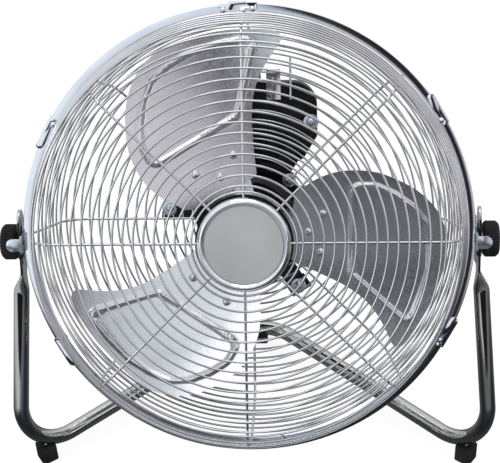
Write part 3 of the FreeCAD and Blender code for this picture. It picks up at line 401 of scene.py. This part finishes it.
# ---- hub cap ------------------------------------------------------------
HUB_CAP_R = 50.4
BADGE_R = 42.3
CAP_BACK_Y = -(FRONT_FLAT - 2.7) - 2.8
CAP_FACE_Y = -85.0
bezel_points = [(BADGE_R + 0.1, CAP_BACK_Y), (HUB_CAP_R - 1.4, CAP_BACK_Y), (HUB_CAP_R, CAP_BACK_Y - 2.7),
                (HUB_CAP_R - 0.6, CAP_FACE_Y + 2.7), (HUB_CAP_R - 3.6, CAP_FACE_Y),
                (BADGE_R + 2.4, CAP_FACE_Y), (BADGE_R + 0.1, CAP_FACE_Y + 2.4)]
bezel = bmesh.new()
lathe(bezel, rounded_profile(bezel_points, [0.3, 1.2, 2.5, 2.5, 2.0, 1.3, 0.6], 6))
piece("hub_bezel", bezel, HEAD, "head", "chrome_band", ["cap_bezel"])
badge_face = CAP_FACE_Y + 2.65
badge_back = CAP_FACE_Y + 4.0
badge_points = [(0.001, badge_face), (BADGE_R - 0.15, badge_face), (BADGE_R - 0.15, badge_back),
                (0.001, badge_back)]
badge = bmesh.new()
lathe(badge, rounded_profile(badge_points, [0, 0.6, 0.2, 0], 5))
piece("hub_badge", badge, HEAD, "head", "badge_metal", ["cap_badge"])


# ---- blades -------------------------------------------------------------
BLADE_PITCH = math.radians(15.8)
BLADE_CURVE_R = 400.0
BLADE_SHEET = 1.5
BLADE_Y = 14.4
BLADE_AXES = (120.0, 0.0, 240.0)
BLADE_MIDDLE = Vector((140.0, -12.0))
# radius and degrees, from the heel along the trailing edge, round the tip and back along
# the leading edge
EDGE = [(66.0, -38.0), (80.0, -35.3), (100.0, -33.4), (128.0, -32.2), (155.0, -33.1), (178.0, -35.6),
        (198.0, -38.5), (212.0, -40.3), (218.4, -39.9), (221.4, -38.3), (222.0, -36.0), (222.0, -28.0),
        (222.0, -20.0), (222.0, -12.0), (221.8, -7.0), (219.6, -1.0), (211.0, 5.4), (195.0, 12.3),
        (177.0, 18.4), (158.0, 24.7), (139.0, 29.8), (120.0, 34.2), (98.0, 37.6), (83.0, 38.6)]
# the root and the pressed panel are (across, up) from the fan's axis
ROOT = [(58.5, 49.0), (54.0, 43.5), (51.6, 36.0), (49.5, 15.0), (48.0, -8.0), (47.0, -28.0), (47.4, -35.0),
        (49.2, -39.2)]
PANEL = [(111.5, 57.0), (142.0, 56.0), (164.0, 45.5), (186.0, 29.0), (202.0, 8.0), (207.0, -18.0),
         (206.5, -48.0), (198.0, -79.0), (182.5, -123.0), (111.0, -56.0)]
PANEL_CORNER = 14.0
BEAD_HALF = 4.6
BEAD_RISE = 3.6
PANEL_RISE = 0.8


def smooth_loop(knots, steps):
    """A closed curve through points, however unevenly they are spaced."""
    count = len(knots)
    loop = []
    for i in range(count):
        a, b, c, d = (knots[(i + k) % count] for k in (-1, 0, 1, 2))
        t1 = (b - a).length ** 0.5
        t2 = t1 + (c - b).length ** 0.5
        t3 = t2 + (d - c).length ** 0.5
        for k in range(steps):
            t = t1 + (t2 - t1) * k / steps
            ab = a.lerp(b, t / t1)
            bc = b.lerp(c, (t - t1) / (t2 - t1))
            cd = c.lerp(d, (t - t2) / (t3 - t2))
            loop.append(ab.lerp(bc, t / t2).lerp(bc.lerp(cd, (t - t1) / (t3 - t1)), (t - t1) / (t2 - t1)))
    return loop


def polygon_distance(point, corners):
    """Signed distance to a polygon, negative inside."""
    best = 1e9
    inside = False
    for a, b in zip(corners, corners[1:] + corners[:1]):
        edge = b - a
        share = max(0.0, min(1.0, (point - a).dot(edge) / edge.length_squared))
        best = min(best, (point - a - edge * share).length)
        if (a.y > point.y) != (b.y > point.y) and point.x < edge.x * (point.y - a.y) / edge.y + a.x:
            inside = not inside
    return -best if inside else best


def inset_corners(corners, distance):
    """The polygon moved inwards by a distance, for rounding its corners."""
    middle = sum(corners, Vector((0, 0))) / len(corners)
    moved = []
    for i, corner in enumerate(corners):
        back = (corners[i - 1] - corner).normalized()
        ahead = (corners[(i + 1) % len(corners)] - corner).normalized()
        half = back.angle(ahead) / 2
        inward = (back + ahead).normalized()
        if inward.dot(middle - corner) < 0:
            inward = -inward
        moved.append(corner + inward * (distance / math.sin(half)))
    return moved


def at_angle(radius, degrees):
    angle = math.radians(degrees)
    return Vector((radius * math.cos(angle), radius * math.sin(angle)))


panel_core = inset_corners([Vector(corner) for corner in PANEL], PANEL_CORNER)


def smooth_step(value):
    value = max(0.0, min(1.0, value))
    return value * value * (3 - 2 * value)


def emboss(point):
    """How far the pressing stands forward of the sheet."""
    distance = polygon_distance(point, panel_core) - PANEL_CORNER
    bead = 0.5 + 0.5 * math.cos(math.pi * max(-1.0, min(1.0, (distance + BEAD_HALF) / BEAD_HALF)))
    return BEAD_RISE * bead + PANEL_RISE * smooth_step(-distance / (2 * BEAD_HALF))


def sheet_point(x, z, lift):
    """The curved sheet's point at (x, z), seen from the front, for a blade along +X. The sheet is
    part of a cylinder about an axis along X, turned by the pitch about X."""
    sine, cosine = math.sin(-BLADE_PITCH), math.cos(BLADE_PITCH)
    across = z / cosine
    for _ in range(6):
        sag = math.sqrt(BLADE_CURVE_R ** 2 - across ** 2) - BLADE_CURVE_R - lift
        across = (z + sag * sine) / cosine
    sag = math.sqrt(BLADE_CURVE_R ** 2 - across ** 2) - BLADE_CURVE_R - lift
    return Vector((x, BLADE_Y + sag * cosine + across * sine, z))


def blade(index, axis, rows=72, steps=7):
    """A pressed sheet, drawn as rings that grow from the middle out to its edge."""
    outline = smooth_loop([at_angle(*knot) for knot in EDGE] + [Vector(knot) for knot in ROOT], steps)
    bm = bmesh.new()
    faces = []
    for back in (False, True):
        rings = []
        for i in range(rows + 1):
            share = 1 - (1 - i / rows) ** 1.25
            ring = []
            for knot in outline:
                place = BLADE_MIDDLE.lerp(knot, share)
                lift = emboss(place) - (BLADE_SHEET if back else 0.0)
                ring.append(bm.verts.new(spun(sheet_point(place.x, place.y, lift), axis)))
            rings.append(ring)
        grid_faces(bm, rings, False, True)
        faces.append(rings)
    grid_faces(bm, [faces[0][rows], faces[1][rows]], False, True)
    piece(f"fan_blade_{index}", bm, HEAD, "rotor", "blade_metal", [f"blade_{index}"])


for number, blade_axis in enumerate(BLADE_AXES, start=1):
    blade(number, blade_axis)

# ---- stand tube ---------------------------------------------------------
TUBE_R = 9.0
END_X = 254.25
END_T = 3.5
END_W = 24.5
LEAN = math.radians(23.0)
BEND_X = 275.0
BEND_DROP = 250.0
APEX_RUN = 139.0
BEND_R = 52.0
APEX_R = 60.0
FLAT_DOWN = 34.0
SWELL = 26.0
TIP_UP = 37.0


def tube_half():
    """Middle line of the left half: flattened end, upright, bend and base, to the rear apex."""
    down = Vector((0, -math.sin(LEAN), -math.cos(LEAN)))
    pin = Vector((-END_X, 0, 0))
    corner = Vector((-BEND_X, -BEND_DROP * math.tan(LEAN), -BEND_DROP))
    upright = (corner - pin).normalized()
    apex = Vector((0, APEX_RUN, -BEND_DROP))
    run = [pin + upright * (FLAT_DOWN + SWELL), corner, apex, Vector((-corner.x, corner.y, corner.z))]
    path = [(pin - down * TIP_UP, 0.0)]
    tip = END_W / 2
    for k in range(1, 13):
        rise = tip * (1 - math.cos(math.pi / 2 * k / 12))
        path.append((pin - down * (TIP_UP - rise), 0.0))
    for k in range(0, 9):
        path.append((pin - down * (TIP_UP - tip) + down * (TIP_UP - tip + FLAT_DOWN) * k / 8, 0.0))
    low = pin + down * FLAT_DOWN
    for k in range(1, 25):
        path.append((low.lerp(run[0], k / 24), k / 24))
    for point in rounded_path(run, [BEND_R, APEX_R], 3.0):
        if point.x <= 1e-6:
            path.append((point, 1.0))
    return path


def tube_section(swell, tip_share):
    """Half thickness, half width and squareness of the tube's section."""
    ease = smooth_step(swell)
    thick = END_T / 2 + (TUBE_R - END_T / 2) * ease
    wide = END_W / 2 + (TUBE_R - END_W / 2) * ease
    power = 0.30 + 0.70 * ease
    return thick, wide * tip_share, power


def tube_vertices(bm, path, sides=48):
    points = [point for point, swell in path]
    frames = transport(points, Vector((1, 0, 0)))
    tip = END_W / 2
    rows = []
    for (point, swell), (u, v) in zip(path, frames):
        away = (point - points[0]).length
        share = 1.0 if away >= tip else math.sqrt(max(0.0, 1 - (1 - away / tip) ** 2))
        thick, wide, power = tube_section(swell, max(share, 0.03))
        row = []
        for k in range(sides):
            c, s = math.cos(2 * math.pi * k / sides), math.sin(2 * math.pi * k / sides)
            a = thick * math.copysign(abs(c) ** power, c)
            b = wide * math.copysign(abs(s) ** power, s)
            row.append(bm.verts.new(point + u * a + v * b))
        rows.append(row)
    return rows


tube = bmesh.new()
for mirror in (1, -1):
    tube_path = tube_half()
    rows = tube_vertices(tube, tube_path)
    for row in rows:
        for vertex in row:
            vertex.co.x *= mirror
    for vertex in rows[-1]:
        vertex.co.x = 0.0
    grid_faces(tube, rows, False, True)
    tube.faces.new(rows[0])
piece("bent_tube", tube, STAND, "stand", "chrome_tube", ["stand_tube"])

# ---- tilt knobs ---------------------------------------------------------
KNOB_IN = 257.8
KNOB_OUT = 275.6
KNOB_R = 20.0
KNOB_RIM_R = 16.2
KNOB_DISH_R = 12.8
RIDGES = 36
RIDGE_DEPTH = 1.1


def tilt_knob(side):
    """A ridged grip with chamfered rims and a shallow dish in its face."""
    profile = [(0.01, KNOB_IN), (KNOB_RIM_R + 0.2, KNOB_IN), (KNOB_RIM_R + 1.2, KNOB_IN + 0.5),
               (KNOB_R - 0.6, KNOB_IN + 2.4), (KNOB_R, KNOB_IN + 3.4), (KNOB_R, KNOB_OUT - 4.0),
               (KNOB_R - 0.5, KNOB_OUT - 2.9), (KNOB_RIM_R + 1.0, KNOB_OUT - 0.5),
               (KNOB_RIM_R, KNOB_OUT), (KNOB_DISH_R + 1.2, KNOB_OUT), (KNOB_DISH_R, KNOB_OUT - 0.5),
               (0.01, KNOB_OUT - 1.2)]
    bm = bmesh.new()
    segments = RIDGES * 8
    rows = []
    for i in range(segments):
        angle = 2 * math.pi * i / segments
        wave = 0.5 - 0.5 * math.cos(RIDGES * angle)
        row = []
        for r, x in profile:
            bite = RIDGE_DEPTH * wave * smooth_step((r - 15.5) / 3.5)
            row.append(bm.verts.new((side * x, (r - bite) * math.cos(angle), (r - bite) * math.sin(angle))))
        rows.append(row)
    grid_faces(bm, rows, True, True)
    name = "right" if side > 0 else "left"
    piece(f"ridged_knob_{name}", bm, STAND, f"tilt_knob_{name}_body", "black_plastic", [f"tilt_knob_{name}"])


tilt_knob(-1)
tilt_knob(1)

# ---- CAD nodes shown as they are ---------------------------------------
SHOWN = {
    "chrome_band": ["grille_clips", "ring_joint_plate", "clip_screws"],
    "chrome_wire": ["rim_wires"],
    "rubber_foot": ["front_foot_left", "front_foot_right", "rear_foot"],
    "black_plastic": ["saddle_left", "saddle_right", "cap_front_plate", "cap_back_plate", "control_box",
                      "control_box_lid", "cord_gland", "speed_knob", "motor_lead"],
    "black_paint": ["motor_front_bell", "motor_rear_bell", "motor_mount"],
    "zinc": ["mount_washers", "mount_screws", "motor_through_bolts", "tilt_bracket_left",
             "tilt_bracket_right", "blade_spider"],
    "bare_steel": ["foot_screws", "knob_stud_left", "knob_stud_right", "clip_nuts", "pivot_nuts",
                   "cap_screws", "lid_screws", "capacitor_strap", "box_hooks", "blade_rivets",
                   "blade_hub", "hub_set_screw", "rotor_shaft", "motor_bearings"],
    "core_steel": ["stator_core", "rotor_core"],
    "copper": ["stator_windings"],
    "grey_film": ["speed_switch", "run_capacitor"],
}
# widths of the rounded edges
BEVELS = {
    "front_foot_left": 1.2, "front_foot_right": 1.2, "rear_foot": 1.2,
    "control_box": 1.6, "control_box_lid": 1.2,
    "grille_clips": 0.25, "ring_joint_plate": 0.25, "tilt_bracket_left": 0.3, "tilt_bracket_right": 0.3,
    "saddle_left": 0.4, "saddle_right": 0.4, "motor_mount": 0.5, "speed_knob": 0.3, "box_hooks": 0.3,
    "blade_spider": 0.4, "mount_washers": 0.2,
}


def show_cad(node, slot):
    """Gives a CAD node its material and softens its edges without touching its mesh."""
    obj = frame["nodes"][node]
    obj.data.materials.clear()
    obj.data.materials.append(MATERIALS[slot])
    obj.data.polygons.foreach_set("use_smooth", [True] * len(obj.data.polygons))
    weld = obj.modifiers.new("weld", "WELD")
    weld.merge_threshold = 0.00001
    if node in BEVELS:
        soften = obj.modifiers.new("soften", "BEVEL")
        soften.width = BEVELS[node] * MM
        soften.segments = 2
        soften.limit_method = "ANGLE"
        soften.angle_limit = BEVEL_ANGLE
        soften.harden_normals = True
    else:
        crease = obj.modifiers.new("crease", "EDGE_SPLIT")
        crease.split_angle = SPLIT_ANGLE


for slot_name, nodes in SHOWN.items():
    for node_name in nodes:
        show_cad(node_name, slot_name)


# ---- floor, light and camera --------------------------------------------
def blend(tree, amount, first, second):
    mix = tree.nodes.new("ShaderNodeMix")
    mix.data_type = "RGBA"
    link(tree, amount, mix.inputs["Factor"])
    link(tree, first, mix.inputs["A"])
    link(tree, second, mix.inputs["B"])
    return mix.outputs["Result"]


def floor():
    """A pale light table that glows evenly for the camera and for matt surfaces. Mirrors see painted
    reflections on it instead: a dark band in front of the object, pale to the left, olive to the right and
    grey behind it.
    """
    bm = bmesh.new()
    quarters = ((-1, -1), (1, -1), (1, 1), (-1, 1))
    bm.faces.new([bm.verts.new((x * FLOOR_HALF, y * FLOOR_HALF, FLOOR_Z)) for x, y in quarters])
    mesh = bpy.data.meshes.new("floor")
    bm.to_mesh(mesh)
    bm.free()
    obj = bpy.data.objects.new("floor", mesh)
    bpy.context.scene.collection.objects.link(obj)
    material, tree, shader = new_material("floor_white")
    shader.inputs["Roughness"].default_value = 0.9
    shader.inputs["Specular IOR Level"].default_value = 0.0
    cloud = noise(tree, position(tree), 3.0)
    link(tree, tint(tree, cloud, (0.22, 0.22, 0.22), (0.24, 0.24, 0.24)), shader.inputs["Base Color"])
    link(tree, tint(tree, cloud, (0.99, 0.99, 0.99), (1.0, 1.0, 1.0)), shader.inputs["Emission Color"])
    shader.inputs["Emission Strength"].default_value = 0.86
    # painted reflections: glossy rays see the emitted tones below instead of the pale floor
    path = tree.nodes.new("ShaderNodeLightPath")
    painted_reflection_glow = tree.nodes.new("ShaderNodeEmission")
    mix = tree.nodes.new("ShaderNodeMixShader")
    where = tree.nodes.new("ShaderNodeTexCoord")
    split = tree.nodes.new("ShaderNodeSeparateXYZ")
    link(tree, where.outputs["Object"], split.inputs["Vector"])
    near = span(tree, split.outputs["Y"], 0.0, 1.0, -2.0, 1.0)
    # painted reflection: dark in front of the object, fading to grey behind it
    painted_reflection_tones = tones(tree, near, [
        (0.0, (0.20, 0.22, 0.23)), (0.33, (0.14, 0.155, 0.165)), (0.50, (0.05, 0.055, 0.065)),
        (0.60, (0.02, 0.024, 0.032)), (0.70, (0.16, 0.16, 0.15)), (0.85, (0.50, 0.50, 0.48)),
    ])
    left = span(tree, split.outputs["X"], 1.0, 0.0, -0.85, -0.40)
    right = span(tree, split.outputs["X"], 0.0, 1.0, 0.80, 1.60)
    # painted reflections: pale on the left, olive on the right
    pale = tint(tree, cloud, (0.68, 0.70, 0.70), (0.76, 0.78, 0.78))
    painted_olive_reflection = tint(tree, cloud, (0.20, 0.20, 0.17), (0.26, 0.26, 0.23))
    link(tree, blend(tree, right, blend(tree, left, painted_reflection_tones, pale), painted_olive_reflection), painted_reflection_glow.inputs["Color"])
    link(tree, path.outputs["Is Glossy Ray"], mix.inputs["Fac"])
    link(tree, shader.outputs["BSDF"], mix.inputs[1])
    link(tree, painted_reflection_glow.outputs["Emission"], mix.inputs[2])
    link(tree, mix.outputs["Shader"], tree.nodes["Material Output"].inputs["Surface"])
    mesh.materials.append(material)


def world():
    """White to the camera and to matt surfaces. Mirrors see a studio: a pale screen on the
    left, a dark gap in front, a duller screen on the right, and grey behind and above."""
    made = bpy.data.worlds.new("studio")
    bpy.context.scene.world = made
    made.use_nodes = True
    tree = made.node_tree
    back = tree.nodes["Background"]
    where = tree.nodes.new("ShaderNodeTexCoord")
    split = tree.nodes.new("ShaderNodeSeparateXYZ")
    link(tree, where.outputs["Generated"], split.inputs["Vector"])
    across = span(tree, split.outputs["X"], 0.0, 1.0, -1.0, 1.0)
    front = tones(tree, across, [
        (0.0, (0.80, 0.84, 0.90)), (0.38, (0.95, 0.99, 1.06)), (0.475, (0.72, 0.80, 0.88)),
        (0.497, (0.03, 0.028, 0.03)), (0.585, (0.016, 0.012, 0.014)),
        (0.63, (0.62, 0.58, 0.64)), (0.78, (0.84, 0.79, 0.85)), (1.0, (0.62, 0.60, 0.63)),
    ])
    grey = tint(tree, split.outputs["Z"], (0.55, 0.56, 0.57), (1.0, 1.0, 1.02), 0.0, 0.8)
    behind = span(tree, split.outputs["Y"], 0.0, 1.0, -0.25, 0.15)
    above = span(tree, split.outputs["Z"], 0.0, 1.0, 0.70, 0.92)
    low = span(tree, split.outputs["Z"], 1.0, 0.0, 0.19, 0.27)
    dark = tint(tree, across, (0.012, 0.014, 0.020), (0.018, 0.018, 0.020))
    studio = blend(tree, above, blend(tree, behind, blend(tree, low, front, dark), grey), grey)
    path = tree.nodes.new("ShaderNodeLightPath")
    mix = tree.nodes.new("ShaderNodeMix")
    mix.data_type = "RGBA"
    mix.inputs["A"].default_value = (1, 1, 1, 1)
    link(tree, path.outputs["Is Glossy Ray"], mix.inputs["Factor"])
    link(tree, studio, mix.inputs["B"])
    link(tree, mix.outputs["Result"], back.inputs["Color"])
    back.inputs["Strength"].default_value = 1.0


def softbox(name, place, aim, width, height, power, colour=(1, 1, 1)):
    light = bpy.data.lights.new(name, "AREA")
    light.shape = "RECTANGLE"
    light.size = width
    light.size_y = height
    light.energy = power
    light.color = colour
    obj = bpy.data.objects.new(name, light)
    obj.location = place
    obj.rotation_mode = "QUATERNION"
    obj.rotation_quaternion = (Vector(aim) - Vector(place)).to_track_quat("-Z", "Y")
    bpy.context.scene.collection.objects.link(obj)


def camera():
    """At the viewer's place: 40 degrees up, slightly to the right, turned a little."""
    distance, rise, around, roll = 1.5, math.radians(40.0), math.radians(4.19), math.radians(-3.10)
    slide_right, slide_up = 0.0021, 0.0096
    back = Vector((math.sin(around) * math.cos(rise), -math.cos(around) * math.cos(rise), math.sin(rise)))
    right = Vector((math.cos(around), math.sin(around), 0))
    up = back.cross(right)
    across = right * math.cos(roll) + up * math.sin(roll)
    upward = up * math.cos(roll) - right * math.sin(roll)
    data = bpy.data.cameras.new("camera")
    data.lens = 97.21
    data.sensor_width = 36.0
    obj = bpy.data.objects.new("camera", data)
    place = PIVOT * MM + back * distance + across * slide_right + upward * slide_up
    obj.matrix_world = Matrix((
        (across.x, upward.x, back.x, place.x),
        (across.y, upward.y, back.y, place.y),
        (across.z, upward.z, back.z, place.z),
        (0, 0, 0, 1),
    ))
    bpy.context.scene.collection.objects.link(obj)
    bpy.context.scene.camera = obj


floor()
world()
middle = (0, 0, 0.25)
softbox("left_softbox", (-1.7, -1.3, 1.0), middle, 0.7, 1.1, 3.0, (0.96, 0.98, 1.0))
softbox("right_softbox", (1.9, -1.1, 1.1), middle, 0.6, 1.0, 2.0, (1.0, 0.98, 1.0))
softbox("top_softbox", (-0.1, 0.5, 2.0), middle, 1.2, 0.8, 4.0)
camera()
bpy.context.scene.view_settings.view_transform = "Standard"
bpy.context.scene.view_settings.look = "None"
